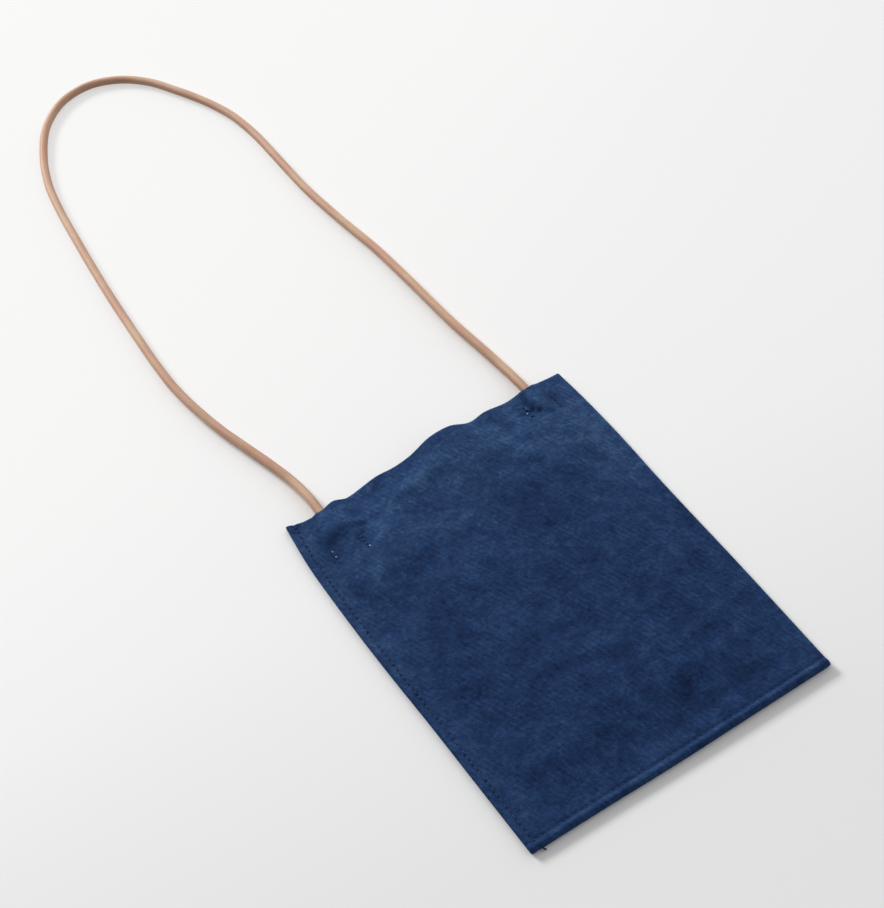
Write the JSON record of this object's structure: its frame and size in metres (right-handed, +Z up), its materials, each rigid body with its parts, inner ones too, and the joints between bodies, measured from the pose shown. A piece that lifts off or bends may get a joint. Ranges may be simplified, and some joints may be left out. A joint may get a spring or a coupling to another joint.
{
  "type": "pochette",
  "caption": "Flat open-topped canvas pouch, folded on one side and sewn along the other and the bottom, with a shoulder loop of round leather cord.",
  "frame": {"origin": "on the surface that the pouch lies on, under the middle of the pouch without its cord", "axes": "+Y from the bottom seam to the mouth, +X across the pouch to its folded side, +Z up out of the front panel"},
  "size_m": [0.1729, 0.6186, 0.012],
  "materials": {
    "canvas": "washed and mottled indigo, matt",
    "thread": "dark blue sewing thread",
    "cord_leather": "natural tan, satin"
  },
  "bodies": {
    "root": {"canvas_body": "canvas", "side_seam_thread": "thread", "bottom_seam_thread": "thread", "left_outer_tack": "thread", "left_inner_tack": "thread", "left_cord_tab": "canvas", "left_stop_knot": "cord_leather", "right_outer_tack": "thread", "right_inner_tack": "thread", "right_cord_tab": "canvas", "right_stop_knot": "cord_leather", "leather_cord": "cord_leather"}
  },
  "joints": []
}
